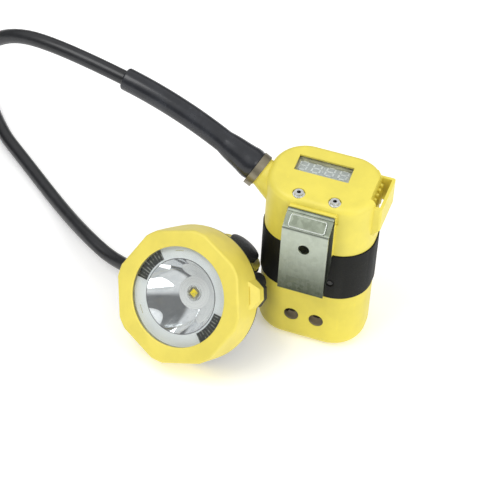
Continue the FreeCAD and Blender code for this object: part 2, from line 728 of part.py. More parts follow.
def reflector():
    """Parabolic bowl with a flat rim that seats behind the lens."""
    front_z, back_z = -rim_front, -rim_front - reflector_depth
    four_f = (reflector_radius ** 2 - led_ring_radius ** 2) / reflector_depth
    heights = [front_z + (back_z - front_z) * i / 4 for i in range(5)]
    radii = [math.sqrt(led_ring_radius ** 2 + four_f * (h - back_z)) for h in heights]
    inner, outer = Part.BSplineCurve(), Part.BSplineCurve()
    inner.interpolate([V(r, 0, h) for r, h in zip(radii, heights)])
    low = -rim_front - flange_thickness - 1.4
    outer_points = [V(r + reflector_wall, 0, h) for r, h in zip(radii, heights)][1:]
    first = V(reflector_radius + reflector_wall, 0, low)
    outer.interpolate([first] + outer_points)
    rim_low, rim_top = V(reflector_rim, 0, low), V(reflector_rim, 0, -rim_front - flange_thickness)
    rim_in = V(reflector_radius + 0.5, 0, -rim_front - flange_thickness)
    top = V(reflector_radius + 0.5, 0, front_z)
    wire = Part.Wire([inner.toShape(), Part.makeLine(V(radii[-1], 0, back_z), outer_points[-1]),
                      outer.toShape(), Part.makeLine(first, rim_low), Part.makeLine(rim_low, rim_top),
                      Part.makeLine(rim_top, rim_in), Part.makeLine(rim_in, top),
                      Part.makeLine(top, V(radii[0], 0, front_z))])
    return Part.Face(wire).revolve(V(0, 0, 0), Z_AXIS, 360)


def ring(inner, outer, top, thickness):
    disc = Part.makeCylinder(outer, thickness, V(0, 0, top - thickness))
    return disc if inner <= 0 else disc.cut(Part.makeCylinder(inner, thickness, V(0, 0, top - thickness)))


def side_panels():
    """Two ribbed dark panels on the flange, left and right of the reflector."""
    panels = []
    for middle in (0, 180):
        plate = Part.makeCylinder(flange_outer - 0.3, panel_thickness, V(0, 0, -rim_front), Z_AXIS,
                                  panel_sweep)
        plate = plate.cut(Part.makeCylinder(panel_inner, panel_thickness, V(0, 0, -rim_front)))
        turn = FreeCAD.Placement(V(), FreeCAD.Rotation(Z_AXIS, middle - panel_sweep / 2))
        panels.append(placed(plate, turn))
    return group(panels)


def led_dome():
    base = board_front + led_package_height
    sphere = Part.makeSphere(led_dome_radius, V(0, 0, base)).common(
        box(-9, 9, -9, 9, base, base + led_dome_radius - 0.9))
    return sphere.cut(box(-led_chip_side / 2, led_chip_side / 2, -led_chip_side / 2, led_chip_side / 2,
                          base - 1, base + led_chip_height))


def head_shell():
    front_z = -bezel_depth - shell_gasket
    outer = [(0, front_z), (shell_radius, front_z), (shell_radius, front_z - shell_flange),
             (shell_radius - 2.4, front_z - shell_flange - 0.8), (28.6, -44.0), (24.0, -51.5),
             (shell_end_radius, -shell_rear + 1.5), (shell_end_radius - 1.5, -shell_rear), (0, -shell_rear)]
    inner = [(0, front_z + 1), (shell_radius - 3.0, front_z + 1), (shell_radius - 4.6, front_z - 3.0),
             (26.0, -42.6), (21.2, -50.2), (shell_end_radius - 3.0, -shell_rear + shell_wall),
             (0, -shell_rear + shell_wall)]
    boss = placed(Part.makeCylinder(boss_radius, boss_top - boss_foot, V(0, 0, boss_foot)), knob_frame)
    pocket = placed(Part.makeCylinder(collar_radius + 0.3, 30, V(0, 0, boss_top)), knob_frame)
    lump = placed(rod(6.0, V(36, 0, front_z), V(36, 0, -41.0)), FreeCAD.Placement(
        V(), FreeCAD.Rotation(Z_AXIS, lug_angle + 9)))
    lump = lump.makeFillet(3.0, [e for e in lump.Edges if e.BoundBox.ZMax < -40.9])
    lug = placed(lug_block(lug_reach - 0.4, front_z - 5.0, front_z), lug_frame)
    neck = placed(Part.makeCylinder(gland_root_radius + 1.4, gland_neck + 3, V(0, 0, -3)), gland_frame)
    body = fuse([turned(outer).cut(pocket), boss, lump, lug, neck])
    hollow_boss = placed(Part.makeCylinder(boss_radius - shell_wall, boss_top - boss_roof), knob_frame)
    hollow_boss = hollow_boss.common(box(-50, 50, 5, 50, -shell_rear + shell_wall, front_z + 1))
    cuts = [turned(inner).cut(boss), hollow_boss,
            placed(Part.makeCylinder(shaft_radius + shaft_clearance, 60), knob_frame),
            placed(Part.makeCylinder(o_ring_outer, 1.8, V(0, 0, boss_top - 1.8)), knob_frame),
            placed(Part.makeCylinder(gland_neck_radius, 30, V(0, 0, -12)), gland_frame),
            placed(rod(lug_screw_radius + 0.3, V(lug_screw_line, 0, -60), V(lug_screw_line, 0, 0)),
                   lug_frame)]
    cuts += [rod(hook_screw_radius, V(x, hook_screw_y, -shell_rear - 1), V(x, hook_screw_y, -shell_rear + 1.6))
             for x in hook_screw_places]
    return body.cut(cuts)


def helmet_hook():
    """Hook for the helmet's lamp bracket: a foot on the shell's rear end and a blade pointing down."""
    foot = box(-hook_half, hook_half, hook_foot_low, hook_foot_high, -shell_rear - hook_slot, -shell_rear)
    blade = box(-hook_half, hook_half, hook_tip, hook_foot_high, -shell_rear - hook_slot - hook_sheet,
                -shell_rear - hook_slot)
    hook = fuse([foot, blade])
    hook = hook.makeFillet(3.0, [e for e in hook.Edges if e.BoundBox.XLength < 0.01
                                 and e.BoundBox.YLength < 0.01 and e.BoundBox.YMax < hook_tip + 0.01])
    return hook.cut([rod(1.4, V(x, hook_screw_y, -80), V(x, hook_screw_y, -shell_rear + 1))
                     for x in hook_screw_places])


def knob():
    """Domed round cap with a bore for the shaft and a raised pointer bar."""
    start = boss_top + collar_height + knob_gap
    edge = start + knob_height
    sphere = (knob_radius ** 2 + knob_dome ** 2) / (2 * knob_dome)
    dome = Part.makeSphere(sphere, V(0, 0, edge + knob_dome - sphere)).common(
        Part.makeCylinder(knob_radius, knob_dome + 1, V(0, 0, edge)))
    body = fuse([Part.makeCylinder(knob_radius, knob_height, V(0, 0, start)), dome])
    return placed(body.cut(Part.makeCylinder(shaft_radius, 3.0, V(0, 0, start))), knob_frame)


def helper_rod(radius, low, high, hole=0.0):
    bar = Part.makeCylinder(radius, high - low, V(0, 0, low))
    if hole:
        bar = bar.cut(Part.makeCylinder(hole, high - low, V(0, 0, low)))
    return placed(bar, knob_frame)


def head_boot():
    """Tapered strain relief: a flange inside the shell, a neck in its wall and a taper outside."""
    flange_top = gland_inside + 1.4
    profile = [(0, gland_inside), (gland_neck_radius + 1.0, gland_inside),
               (gland_neck_radius + 1.0, flange_top), (gland_neck_radius - 0.05, flange_top),
               (gland_neck_radius - 0.05, gland_neck), (gland_root_radius, gland_neck),
               (gland_root_radius, gland_mid),
               (cable_radius + 0.9, gland_end), (0, gland_end)]
    return placed(turned(profile), gland_frame)


# ---- lead ----
def cord_coil():
    near, far = coil_radius - coil_inner_turn - cable_radius, coil_radius + coil_inner_turn + cable_radius
    top = 2 * cable_radius + coil_layer
    section = [(near, 0), (far, 0), (far, 2 * cable_radius), (coil_radius + cable_radius, top),
               (coil_radius - cable_radius, top), (near, 2 * cable_radius)]
    return placed(turned(section), FreeCAD.Placement(coil_middle, FreeCAD.Rotation()))


# ---- assembly ----
pieces = {
    "lower_case": lower_case(),
    "case_band": case_band(),
    "cap_shell": cap_shell(),
    "case_seal": case_seal(),
    "band_pins": band_pins(),
    "display_window": window_block(1.2, window_recess + 0.05, window_thickness),
    "display_gasket": window_block(1.2, window_recess + window_thickness + 0.1, 0.8, hole=1.2),
    "display_module": window_block(1.2, window_recess + window_thickness + 0.95, display_thickness),
    "control_board": control_board(),
    "battery_cells": battery_cells(),
    "lower_cell_tray": cell_tray(case_wall + 0.05, case_wall + tray_depth),
    "upper_cell_tray": cell_tray(cell_low + cell_length - tray_depth, cell_low + cell_length),
    "cell_tabs": cell_tabs(),
    "lead_wires": lead_wires(),
    "charge_contacts": charge_contacts(),
    "contact_seals": on_shanks(3.6, front + inner_wall, contact_seal),
    "contact_nuts": on_shanks(3.6, front + inner_wall + contact_seal, contact_nut, hexagonal=True),
    "clip_plate": clip_plate(),
    "clip_tongue": clip_tongue(),
    "clip_screw": placed(screw(clip_screw_radius, 8.0, 3.0, 1.4, socket_radius),
                         along(-Y_AXIS, V(0, pad_front - clip_sheet, clip_hole_height))),
    "clip_nut": placed(turned_hexagon(3.8, 0, 2.4).cut(Part.makeCylinder(clip_screw_radius, 2.4)),
                       along(Y_AXIS, V(0, front + cap_wall, clip_hole_height))),
    "cable_boot": cable_boot(),
    "boot_clamp": boot_clamp(),
}
screw_seats = [FreeCAD.Placement(V(x, screw_y, seat_height), FreeCAD.Rotation()) for x in screw_places]
washer = Part.makeCylinder(washer_radius, washer_thickness).cut(
    Part.makeCylinder(screw_thread / 2 + 0.1, washer_thickness))
cap_screw = screw(screw_thread / 2, screw_length, screw_head_radius, screw_head_height, socket_radius)
cap_screw.translate(V(0, 0, washer_thickness))
pieces["cap_washers"] = group([placed(washer, seat) for seat in screw_seats])
pieces["cap_screws"] = group([placed(cap_screw, seat) for seat in screw_seats])
board_screw = screw(1.0, 6.0, 1.9, 1.2, 0.9)
pieces["board_screws"] = group([
    placed(board_screw, along(-Z_AXIS, V(x, board_screw_y, board_top - board_thickness)))
    for x in board_screw_places])

sink_rear = board_front - led_board_thickness - heat_sink_thickness
sink = [ring(0, heat_sink_radius, board_front - led_board_thickness, heat_sink_thickness)]
pillar_foot, pillar_head = board_front - led_board_thickness - 1, -rim_front - flange_thickness - 1.4
for i in range(3):
    angle = math.radians(120 * i + 30)
    x, y = pillar_line * math.cos(angle), pillar_line * math.sin(angle)
    sink.append(rod(pillar_radius, V(x, y, pillar_foot), V(x, y, pillar_head)))
package_top = board_front + led_package_height
shaft_top = boss_top + collar_height + knob_gap + 3.0
hook_rear = -shell_rear - hook_slot - hook_sheet
hook_screw = screw(hook_screw_radius, 7.6, 2.2, 1.3, 0.9)
head_pieces = {
    "head_bezel": head_bezel(),
    "front_lens": ring(0, lens_radius, -lens_recess, lens_thickness),
    "lens_gasket": ring(flange_outer + 0.1, lens_radius, -lens_recess - lens_thickness,
                        rim_front + flange_thickness - lens_recess - lens_thickness),
    "flange_ring": ring(reflector_radius + 0.55, flange_outer, -rim_front, flange_thickness),
    "side_panels": side_panels(),
    "reflector": reflector(),
    "led_board": ring(0, led_ring_radius + reflector_wall + 0.6, board_front, led_board_thickness),
    "led_package": box(-led_package_side / 2, led_package_side / 2, -led_package_side / 2,
                       led_package_side / 2, board_front, package_top),
    "led_chip": box(-led_chip_side / 2, led_chip_side / 2, -led_chip_side / 2, led_chip_side / 2,
                    package_top, package_top + led_chip_height),
    "led_dome": led_dome(),
    "heat_sink": fuse(sink),
    "driver_board": ring(0, driver_radius, sink_rear - 1.5, driver_thickness),
    "shell_gasket": ring(bezel_radius - bezel_wall - 0.5, shell_radius - 0.6, -bezel_depth, shell_gasket),
    "head_shell": head_shell(),
    "helmet_hook": helmet_hook(),
    "hook_screws": group([placed(hook_screw, along(-Z_AXIS, V(x, hook_screw_y, hook_rear)))
                          for x in hook_screw_places]),
    "lug_screw": placed(placed(screw(lug_screw_radius, 10.0, 2.0, 1.4, 0.9), along(
        -Z_AXIS, V(lug_screw_line, 0, -bezel_depth - shell_gasket - 5.0))), lug_frame),
    "knob_collar": helper_rod(collar_radius, boss_top, boss_top + collar_height, shaft_radius + 0.3),
    "switch_knob": knob(),
    "switch_shaft": helper_rod(shaft_radius, switch_low + 3.2, shaft_top),
    "shaft_o_ring": helper_rod(o_ring_outer, boss_top - 1.75, boss_top - 0.05,
                               shaft_radius + shaft_clearance),
    "rotary_switch": helper_rod(switch_radius, switch_low, switch_high).cut(
        helper_rod(shaft_radius + shaft_clearance, switch_low + 3, switch_high)),
    "head_boot": head_boot(),
}
pieces.update({name: placed(shape, head_frame) for name, shape in head_pieces.items()})

# the lead's hand-chosen route, pack side and head side of the put-away coil
sleeve_end = sleeve_point(sleeve_length)
pack_side_points = [sleeve_end, V(-175.7, 17.2, 150.0), V(-215.0, 25.0, 144.0), V(-244.0, 33.0, 112.0),
                    V(-256.0, 40.0, 70.0), V(-280.0, 48.0, 32.0), V(-328.0, 54.0, 12.4)]
boot_end = head_frame.multVec(gland_frame.multVec(V(0, 0, gland_end)))
head_side_points = [V(-292.2, 135.8, 4.5), V(-254.0, 87.0, 4.5), V(-229.3, 66.9, 4.5), V(-182.8, 27.9, 5.2),
                    V(-151.0, -0.5, 13.8), V(-129.5, -11.1, 11.6), boot_end]
pieces["cord_pack_side"] = cord(pack_side_points, "pack side")
pieces["cord_coil"] = cord_coil()
pieces["cord_head_side"] = cord(head_side_points, "head side")

os.makedirs("parts", exist_ok=True)
for name, shape in pieces.items():
    if not shape.isValid():
        print("not valid:", name)
    shape.exportStep("parts/%s.step" % name)
print(len(pieces), "pieces; sleeve end", sleeve_end, "boot end", boot_end)
print("boot axis", head_frame.Rotation.multVec(gland_frame.Rotation.multVec(Z_AXIS)))
print("knob axis", head_frame.Rotation.multVec(Y_AXIS), "at", head_frame.multVec(V(0, 0, -knob_depth)))
print("tongue hinge", slope_point(clip_shoulder + clip_slit / 2))
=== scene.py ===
"""Looks of the miner's cap lamp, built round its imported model. Lengths are in metres."""
import math

import bmesh
import bpy
from mathutils import Matrix, Vector


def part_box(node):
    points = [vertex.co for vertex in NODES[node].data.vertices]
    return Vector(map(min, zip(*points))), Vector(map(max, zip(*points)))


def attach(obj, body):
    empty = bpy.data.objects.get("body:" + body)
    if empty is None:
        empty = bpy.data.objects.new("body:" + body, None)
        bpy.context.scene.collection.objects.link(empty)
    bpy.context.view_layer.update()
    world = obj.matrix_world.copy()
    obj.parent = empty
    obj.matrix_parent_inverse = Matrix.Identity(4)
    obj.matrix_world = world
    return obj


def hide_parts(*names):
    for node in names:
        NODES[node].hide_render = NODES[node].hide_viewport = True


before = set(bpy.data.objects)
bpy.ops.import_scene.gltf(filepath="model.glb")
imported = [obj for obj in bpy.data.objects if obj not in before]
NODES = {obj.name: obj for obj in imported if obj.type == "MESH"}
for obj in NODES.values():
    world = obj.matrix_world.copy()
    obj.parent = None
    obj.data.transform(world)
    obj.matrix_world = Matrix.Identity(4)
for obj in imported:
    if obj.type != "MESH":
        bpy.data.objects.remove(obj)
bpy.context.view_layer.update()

MM = 0.001

# ---- camera ----
AZIMUTH, ELEVATION, ROLL = (math.radians(angle) for angle in (16.614, 43.633, 3.599))
DISTANCE = 1.187687
AIM_HEIGHT, AIM_RIGHT, AIM_UP = 0.055, -0.042001, 0.001965
LENS = 139.82

# ---- lead ----
LEAD_RADIUS = 0.0045
PACK_SIDE = [(-0.1320, 0.01189, 0.14262), (-0.1757, 0.0172, 0.1500), (-0.2150, 0.0250, 0.1440),
             (-0.2440, 0.0330, 0.1120), (-0.2560, 0.0400, 0.0700), (-0.2800, 0.0480, 0.0320)]
HEAD_SIDE = [(-0.2540, 0.0870, 0.0045), (-0.2293, 0.0669, 0.0045), (-0.1828, 0.0279, 0.0052),
             (-0.1510, -0.0005, 0.0138), (-0.1295, -0.0111, 0.0116), (-0.11037, -0.02221, 0.0203)]
COIL_MIDDLE = Vector((-0.328, 0.100, 0))
COIL_START, COIL_TURNS, COIL_POINTS = math.radians(270), 2.625, 24
# turns made, radius and height of the lead's middle line in the coil
COIL_STEPS = [(0, 0.0460, 0.0124), (0.80, 0.0460, 0.0124), (0.95, 0.0413, 0.0045),
              (1.62, 0.0413, 0.0045), (1.78, 0.0507, 0.0045), (COIL_TURNS, 0.0507, 0.0045)]

# ---- headpiece ----
HEAD_TURN, HEAD_LEAN, HEAD_ROLL = (math.radians(angle) for angle in (-12, 57.2, -22.5))
LENS_MIDDLE = 2.55 * MM            # depth of the front lens's middle behind the face
FLANGE_FRONT = 4.4 * MM
BOWL_RIM, BOWL_FOOT, BOWL_DEPTH, BOWL_WALL = 22.7 * MM, 10.2 * MM, 19.1 * MM, 1.0 * MM
BOWL_STEPS, BACK_START = 28, 6     # the bowl's back starts below the lip
LIP_RADIUS, LIP_WALL, LIP_SUNK, LIP_GAP = 30.0 * MM, 1.0 * MM, 1.7 * MM, 0.5 * MM
LED_RING, LED_RING_WIRE, LED_RING_SUNK = 4.6 * MM, 0.3 * MM, 0.1 * MM
TICK_INNER, TICK_OUTER, TICK_ROOT, TICK_RISE = 27.6 * MM, 27.9 * MM, 0.05 * MM, 0.12 * MM
TICK_STARTS, TICK_SWEEP = (128, 352, 236), math.radians(11)

# ---- cap and display ----
CAP_SLOPE = math.radians(7)
SCREW_HEAD, SCREW_SOCKET, SOCKET_EDGE = 2.75 * MM, 1.25 * MM, 0.1 * MM
DISPLAY_FACE = 1.25 * MM           # height of the display's face above its middle
DIGIT_PITCH, DIGIT_HALF_WIDTH, DIGIT_HALF_HEIGHT = 8.3 * MM, 2.4 * MM, 3.3 * MM
DIGITS_MIDDLE = (-0.7 * MM, 1.5 * MM)
DIGIT_SLANT = 0.12
SEGMENT_HALF_LENGTH, SEGMENT_HALF, SEGMENT_THICK = 0.86 * DIGIT_HALF_WIDTH, 0.50 * MM, 0.2 * MM
UPRIGHT_SHARE = 0.82               # length of an upright segment, as a share of a level one
COLON_RADIUS = 0.4 * MM

# ---- pressed panel on the clip's shoulder ----
PANEL_MIDDLE = (0, -33.03 * MM, 107.43 * MM)
PANEL_HALF_X, PANEL_HALF_Y, PANEL_RISE, PANEL_CORNER = 11.2 * MM, 4.0 * MM, 0.9 * MM, 1.6 * MM
PANEL_TILT = math.atan2(8, 11)     # the shoulder falls 8 over a run of 11
BEAD, BEAD_SUNK = 0.4 * MM, 0.24 * MM

# ---- studio ----
SKY_STRENGTH = 0.9
WALL_TOP = (0.42, 0.62)            # sines of the heights between which wall turns to ceiling
WALL_TONE = (0.28, 0.28, 0.28, 1)
LAMP_AIM = Vector((0, 0, 0.05))
FLOOR_HALF = 4


def middle(node):
    """Middle of a node's box."""
    low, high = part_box(node)
    return (Vector(low) + Vector(high)) / 2


HEAD_TILT = (Matrix.Rotation(HEAD_TURN, 4, "Z") @ Matrix.Rotation(HEAD_LEAN, 4, "X")
             @ Matrix.Rotation(HEAD_ROLL, 4, "Z"))
HEAD = Matrix.Translation(middle("front_lens") + HEAD_TILT @ Vector((0, 0, LENS_MIDDLE))) @ HEAD_TILT
DISPLAY = Matrix.Translation(middle("display_module")) @ Matrix.Rotation(CAP_SLOPE, 4, "X")


# ---- materials ----
class Field:
    """A value that varies over a surface. Sums on it add the nodes that work them out."""

    def __init__(self, nodes, socket):
        self.nodes, self.socket = nodes, socket

    def math(self, operation, first, second=0.0):
        return self.nodes.node("Math", {"operation": operation}, {0: first, 1: second})

    def __add__(self, other):
        return self.math("ADD", self, other)

    __radd__ = __add__

    def __mul__(self, other):
        return self.math("MULTIPLY", self, other)

    __rmul__ = __mul__

    def __sub__(self, other):
        return self.math("SUBTRACT", self, other)

    def __rsub__(self, other):
        return self.math("SUBTRACT", other, self)

    def wave(self):
        return self.math("SINE", self)

    def size(self):
        return self.math("ABSOLUTE", self)

    def root(self):
        return self.math("SQRT", self)

    def part(self, axis):
        """One of the three numbers of a place."""
        return self.nodes.node("SeparateXYZ", {}, {"Vector": self}, axis)

    def over(self, low, high):
        """0 below low, 1 above high and smooth between them."""
        return self.nodes.node("MapRange", {"interpolation_type": "SMOOTHSTEP"},
                               {"Value": self, "From Min": low, "From Max": high})


class Nodes:
    """A node tree and the one method that adds a node to it."""

    def __init__(self, tree):
        self.tree = tree

    def feed(self, socket, value):
        if isinstance(value, Field):
            self.tree.links.new(value.socket, socket)
        else:
            socket.default_value = value

    def node(self, kind, settings, values, output=0):
        made = self.tree.nodes.new("ShaderNode" + kind)
        for key, value in settings.items():
            setattr(made, key, value)
        for key, value in values.items():
            self.feed(made.inputs[key], value)
        return Field(self, made.outputs[output])

    def mixed(self, factor, first, second):
        return self.node("Mix", {"data_type": "RGBA"}, {0: factor, 6: first, 7: second}, 2)


class Paint(Nodes):
    """A material for one finish."""

    def __init__(self, name, **fixed):
        self.material = bpy.data.materials.new(name)
        self.material.use_nodes = True
        super().__init__(self.material.node_tree)
        self.shader = self.tree.nodes["Principled BSDF"]
        for socket, value in fixed.items():
            self.shader.inputs[socket.replace("_", " ")].default_value = value
        self.place = self.node("TexCoord", {}, {}, "Object")

    def stretched(self, scale):
        return self.node("Mapping", {}, {"Vector": self.place, "Scale": scale})

    def seen_from(self, matrix):
        """Coordinates in a piece's own frame."""
        values = {"Vector": self.place, "Location": matrix.translation, "Rotation": matrix.to_euler()}
        return self.node("Mapping", {"vector_type": "TEXTURE"}, values)

    def noise(self, size, detail=3.0, roughness=0.55, place=None):
        values = {"Vector": place or self.place, "Scale": 1 / size, "Detail": detail, "Roughness": roughness}
        return self.node("TexNoise", {}, values)

    def cells(self, size, feature="F1", output="Distance"):
        values = {"Vector": self.place, "Scale": 1 / size}
        return self.node("TexVoronoi", {"feature": feature}, values, output)

    def bumped(self, height, depth, strength=1.0):
        return self.node("Bump", {}, {"Height": height, "Distance": depth, "Strength": strength})

    def finish(self, tone, roughness, normal=None):
        self.feed(self.shader.inputs["Base Color"], tone)
        self.feed(self.shader.inputs["Roughness"], roughness)
        if normal:
            self.feed(self.shader.inputs["Normal"], normal)
        return self.material


def colour(red, green, blue):
    """A colour given as screen values up to 255."""
    return tuple(((part / 255 + 0.055) / 1.055) ** 2.4 if part > 10 else part / 3294
                 for part in (red, green, blue)) + (1.0,)


def shade(base, factor):
    """A colour made darker or paler."""
    return tuple(part * factor for part in base[:3]) + (1.0,)


def moulded(name, base, roughness=0.38, grain=0.35 * MM, depth=0.02 * MM, dust=0.25, **fixed):
    """Moulded plastic: cloudy colour, fine grain, faint rubbed streaks and a little dust."""
    paint = Paint(name, **fixed)
    clouds = paint.noise(22 * MM, 4)
    rubbed = paint.noise(5 * MM, 6, 0.7, paint.stretched((1, 1, 0.25))).over(0.56, 0.74)
    tone = paint.mixed(clouds.over(0.3, 0.7), shade(base, 0.94), shade(base, 1.05))
    tone = paint.mixed(rubbed * dust, tone, shade(base, 1.18))
    fine = paint.noise(grain, 2)
    pits = paint.cells(grain * 1.6)
    return paint.finish(tone, roughness + 0.10 * rubbed + 0.08 * (clouds - 0.5) + 0.05 * fine,
                        paint.bumped(fine + 0.5 * pits, depth, 0.55))


def stippled(name, base, roughness=0.55, pitch=0.7 * MM, depth=0.08 * MM):
    """Dark plastic with a close pattern of low dots."""
    paint = Paint(name, Specular_IOR_Level=0.2)
    dots = 1 - paint.cells(pitch).over(0.1, 0.5)
    clouds = paint.noise(14 * MM, 5)
    tone = paint.mixed(clouds.over(0.3, 0.75), shade(base, 0.8), shade(base, 1.25))
    tone = paint.mixed(dots * 0.25, tone, shade(base, 1.6))
    return paint.finish(tone, roughness - 0.12 * dots + 0.08 * (clouds - 0.5),
                        paint.bumped(dots, depth, 0.6))


def rubber(name, base, roughness=0.42):
    """Smooth rubber with a faint bloom and drawn lines."""
    paint = Paint(name, Specular_IOR_Level=0.5)
    bloom = paint.noise(9 * MM, 5, 0.65)
    lines = paint.noise(1.2 * MM, 3, 0.6, paint.stretched((0.15, 1, 1)))
    tone = paint.mixed(bloom.over(0.35, 0.75), shade(base, 0.82), shade(base, 1.35))
    return paint.finish(tone, roughness + 0.18 * (bloom - 0.5) + 0.06 * lines,
                        paint.bumped(0.6 * lines + 0.4 * paint.noise(0.5 * MM), 0.03 * MM, 0.6))


def galvanised(name, base, dark, roughness=0.34):
    """Zinc-coated sheet: patchy crystals, fine rolling lines and dull spots, darkened by painted shade
    towards the bottom and on the shoulder above 103 mm.
    """
    paint = Paint(name, Metallic=0.92)
    flake = paint.node("RGBToBW", {}, {"Color": paint.cells(2.6 * MM, output="Color")})
    rolled = paint.noise(0.8 * MM, 4, 0.6, paint.stretched((1, 1, 0.08)))
    dull = paint.noise(7 * MM, 6, 0.7).over(0.45, 0.75)
    height = paint.place.part(2)
    # painted shade and reflection: darker from 102 mm down to 50 mm, and again on the shoulder above 103 mm
    painted_shade = 1 - height.over(50 * MM, 102 * MM) + 0.8 * height.over(103 * MM, 106 * MM)
    tone = paint.mixed(flake * 0.10 + 0.12 * rolled + 0.9 * painted_shade, base, dark)
    tone = paint.mixed(dull * 0.10, tone, shade(dark, 0.8))
    return paint.finish(tone, roughness + 0.06 * dull + 0.04 * flake, paint.bumped(rolled, 0.012 * MM, 0.4))


def turned_metal(name, base, roughness=0.22, metallic=1.0, pitch=0.25 * MM):
    """Plated or turned metal with fine tool lines and finger marks."""
    paint = Paint(name, Metallic=metallic)
    marks = paint.noise(3 * MM, 5, 0.65)
    lines = paint.noise(pitch, 2)
    tone = paint.mixed(marks.over(0.35, 0.7), base, shade(base, 0.82))
    return paint.finish(tone, roughness + 0.14 * (marks - 0.4) + 0.06 * lines,
                        paint.bumped(lines, 0.008 * MM, 0.4))


def screw_head():
    """Bright plated heads, with painted shade filling the sockets."""
    paint = Paint("screw_head", Metallic=0.7)
    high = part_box("cap_screws")[1]
    along = paint.place.part(0).size() - (high[0] - SCREW_HEAD)
    across = paint.place.part(1) - (high[1] - SCREW_HEAD)
    radius = (along * along + across * across).root()
    marks = paint.noise(1.5 * MM, 4, 0.6)
    head = paint.mixed(marks.over(0.35, 0.7), colour(222, 224, 222), colour(196, 198, 196))
    # painted shade: near-black inside the socket's radius stands in for the shade down in the recess
    tone = paint.mixed(radius.over(SCREW_SOCKET - SOCKET_EDGE, SCREW_SOCKET + SOCKET_EDGE),
                       colour(20, 20, 20), head)
    return paint.finish(tone, 0.26 + 0.14 * marks, paint.bumped(marks, 0.01 * MM, 0.4))


def clear(name, tint, strength=0.35):
    """Clear plastic or glass: what lies behind it, under a thin reflection with faint smears."""
    paint = Paint(name)
    tree = paint.tree
    tree.nodes.remove(paint.shader)
    smears = paint.noise(8 * MM, 5, 0.7)
    through = paint.node("BsdfTransparent", {}, {"Color": tint}, "BSDF")
    gloss = paint.node("BsdfGlossy", {}, {"Color": (1, 1, 1, 1), "Roughness": smears * 0.08}, "BSDF")
    edge = paint.node("Fresnel", {}, {"IOR": 1.45}, "Fac")
    both = paint.node("MixShader", {}, {0: edge * strength, 1: through, 2: gloss}, "Shader")
    tree.links.new(both.socket, tree.nodes["Material Output"].inputs["Surface"])
    return paint.material


def mirror_coat():
    """Metallised bowl: nearly a mirror, with a breath of haze."""
    paint = Paint("mirror_coat", Metallic=1.0)
    haze = paint.noise(7 * MM, 5)
    tone = paint.mixed(haze.over(0.3, 0.7), (0.93, 0.93, 0.93, 1), (0.84, 0.85, 0.86, 1))
    return paint.finish(tone, 0.035 + 0.05 * haze.over(0.55, 0.8),
                        paint.bumped(paint.noise(4 * MM, 2), 0.02 * MM, 0.25))


def circuit_board(name, base, track):
    """Board lacquer over copper tracks."""
    paint = Paint(name)
    tracks = paint.cells(2.4 * MM, "DISTANCE_TO_EDGE").over(0.04, 0.09)
    tone = paint.mixed(tracks, track, base)
    speck = paint.noise(0.4 * MM, 2)
    return paint.finish(tone, 0.3 + 0.15 * speck, paint.bumped(1 - tracks, 0.03 * MM, 0.6))


def led_board_white():
    """White board lacquer with fine printed rings round the LED."""
    paint = Paint("led_board_white")
    place = paint.seen_from(HEAD)
    along, across = place.part(0), place.part(1)
    radius = (along * along + across * across).root()
    rings = (radius * (2 * math.pi / (2.1 * MM))).wave().over(0.97, 1.0)
    speck = paint.noise(0.5 * MM, 3)
    tone = paint.mixed(rings * 0.5, colour(246, 246, 244), colour(186, 188, 188))
    return paint.finish(tone, 0.45 + 0.12 * speck, paint.bumped(rings + 0.2 * speck, 0.02 * MM, 0.5))


def panel_dark():
    """Dark side panel with pale radial bars that break up across it."""
    paint = Paint("panel_dark")
    place = paint.seen_from(HEAD)
    along, across = place.part(0), place.part(1)
    angle = across.math("ARCTAN2", across, along)
    bars = (angle * 84).wave().over(0.25, 0.8)
    broken = paint.noise(2.6 * MM, 3).over(0.38, 0.62)
    tone = paint.mixed(bars * broken, colour(66, 68, 67), colour(150, 152, 146))
    return paint.finish(tone, 0.5 - 0.15 * bars, paint.bumped(bars, 0.05 * MM, 0.6))


def phosphor():
    """Yellow LED die with a fine grain of paler flecks."""
    # painted light: the faint yellow glow brightens the die down in the bowl
    paint = Paint("phosphor", Emission_Color=colour(230, 214, 70), Emission_Strength=0.6)
    grain = paint.noise(0.25 * MM, 3)
    tone = paint.mixed(grain.over(0.35, 0.7), colour(228, 214, 60), colour(240, 232, 120))
    return paint.finish(tone, 0.5 + 0.2 * grain, paint.bumped(grain, 0.02 * MM, 0.6))


def soft_metal(name, base, metallic=0.25):
    """Silver-grey lacquer with a fine metallic grain."""
    paint = Paint(name, Metallic=metallic)
    grain = paint.noise(0.3 * MM, 3)
    clouds = paint.noise(10 * MM, 4)
    tone = paint.mixed(clouds.over(0.3, 0.7), shade(base, 0.96), shade(base, 1.03))
    return paint.finish(tone, 0.40 + 0.12 * grain, paint.bumped(grain, 0.015 * MM, 0.5))


def wrapped(name, base, band):
    """Shrink wrap on the cells, with a darker band every few centimetres."""
    paint = Paint(name)
    height = paint.place.part(2)
    bands = (height * (2 * math.pi / (32 * MM))).wave().over(0.90, 0.96)
    creases = paint.noise(1.5 * MM, 4, 0.6, paint.stretched((1, 1, 0.2)))
    return paint.finish(paint.mixed(bands, base, band), 0.3 + 0.15 * creases,
                        paint.bumped(creases, 0.04 * MM, 0.5))


